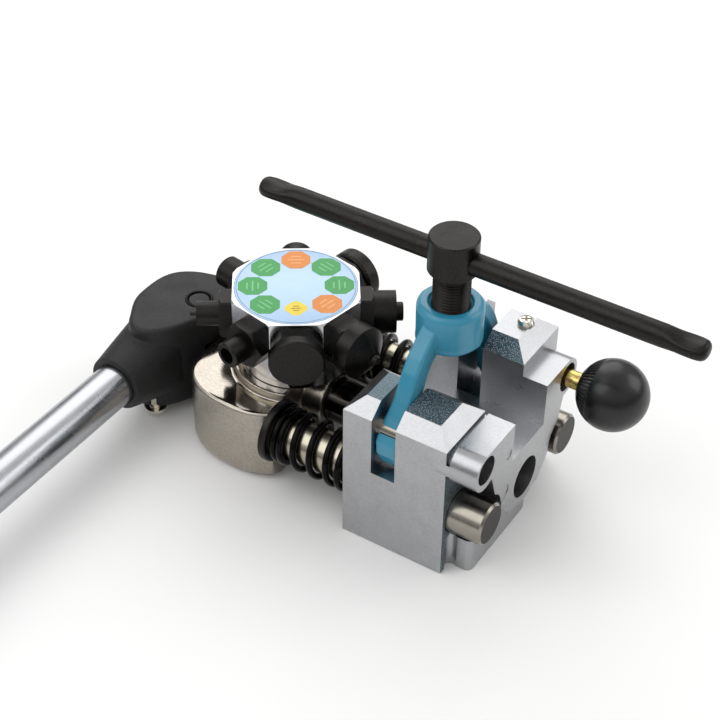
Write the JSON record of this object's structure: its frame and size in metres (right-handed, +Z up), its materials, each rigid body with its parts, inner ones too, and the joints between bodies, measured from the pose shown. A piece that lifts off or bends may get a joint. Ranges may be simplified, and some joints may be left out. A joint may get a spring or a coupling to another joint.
{
  "type": "turret flaring tool",
  "caption": "Hand-lever brake pipe flaring tool: die block on guide rods, indexing turret of dies, cam lever with tube handle, hinged yoke with clamp screw.",
  "frame": {"origin": "on the base plane, at the die block's bottom face, directly under the clamp screw's axis", "axes": "+X towards the side where the tube goes in, along the guide rods; +Z up; the hand lever points to -Y"},
  "size_m": [0.2662, 0.3836, 0.137],
  "materials": {
    "cast_block": "satin die cast, shot blasted on the upright tops",
    "plated_screw": "bright nickel plate",
    "ground_steel": "ground",
    "bronze_bush": "sintered bronze",
    "polished_ram": "blackened and polished",
    "black_oxide": "black oxide, oiled",
    "nickel_plate": "satin nickel plate with bright edges",
    "spring_wire": "black spring wire",
    "turned_aluminium": "turned and milled",
    "label_plate": "printed light blue plate with coloured patches",
    "cast_lever": "graphite black coated casting",
    "drawn_aluminium": "drawn tube, satin",
    "black_plastic": "moulded",
    "teal_paint": "teal enamel on a casting",
    "zinc_yellow": "yellow zinc plate",
    "knob_plastic": "moulded phenolic ball knob"
  },
  "bodies": {
    "block": {"die_block": "cast_block", "block_screw": "plated_screw", "yoke_pivot_pin": "ground_steel", "guide_bush_near": "bronze_bush", "guide_bush_far": "bronze_bush", "draw_ram": "polished_ram", "lever_pin": "black_oxide"},
    "carriage": {"turret_housing": "nickel_plate", "guide_rod_near": "ground_steel", "guide_rod_far": "ground_steel", "spring_seat_near": "black_oxide", "spring_seat_far": "black_oxide", "return_spring_near": "spring_wire", "return_spring_far": "spring_wire", "turret_axle": "ground_steel", "detent_ball": "ground_steel", "detent_spring": "spring_wire", "axle_circlip": "spring_wire"},
    "turret": {"turret_body": "turned_aluminium", "turret_label": "label_plate", "die_cone": "black_oxide", "die_step_large": "black_oxide", "die_flat_wide": "black_oxide", "die_step_medium": "black_oxide", "die_plain": "black_oxide", "die_step_small": "black_oxide", "die_bell": "black_oxide", "die_flat_near": "black_oxide"},
    "lever": {"lever_head": "cast_lever", "tube_bolt": "plated_screw", "handle_tube": "drawn_aluminium", "handle_cap": "black_plastic"},
    "yoke": {"yoke": "teal_paint"},
    "thrust": {"pressure_pad": "black_oxide"},
    "screw": {"clamp_screw": "black_oxide"},
    "bar": {"t_bar": "black_oxide"},
    "lock": {"lock_pin": "zinc_yellow", "ball_knob": "knob_plastic", "lock_spring": "spring_wire"}
  },
  "joints": [
    {"name": "carriage_draw", "type": "slide", "parent": "block", "child": "carriage", "axis": [1, 0, 0], "range_m": [0, 0.00701], "deforming": ["return_spring_near", "return_spring_far"]},
    {"name": "lever_swing", "type": "hinge", "parent": "block", "child": "lever", "pos_m": [-0.13, 0, 0.028], "axis": [0, 0, -1], "range_deg": [0, 75]},
    {"name": "turret_turn", "type": "hinge", "parent": "carriage", "child": "turret", "pos_m": [-0.0762, 0, 0.066], "axis": [0, 0, 1], "continuous": true},
    {"name": "yoke_swing", "type": "hinge", "parent": "block", "child": "yoke", "pos_m": [-0.004, -0.0364, 0.0598], "axis": [1, 0, 0], "range_deg": [0, 80]},
    {"name": "pad_feed", "type": "slide", "parent": "yoke", "child": "thrust", "axis": [0, 0, -1], "range_m": [-0.00002, 0.01201]},
    {"name": "screw_turn", "type": "hinge", "parent": "thrust", "child": "screw", "pos_m": [0, 0, 0.1], "axis": [0, 0, -1], "range_deg": [0, 2880]},
    {"name": "bar_slide", "type": "slide", "parent": "screw", "child": "bar", "axis": [1, 0, 0], "range_m": [-0.08, 0.062]},
    {"name": "lock_push", "type": "slide", "parent": "block", "child": "lock", "axis": [-1, 0, 0], "range_m": [0, 0.0055], "deforming": ["lock_spring"]}
  ],
  "couplings": [
    {"joint": "carriage_draw", "follows": "lever_swing", "m_per_rad": 0.0053476},
    {"joint": "pad_feed", "follows": "screw_turn", "m_per_rad": 0.00023873}
  ]
}
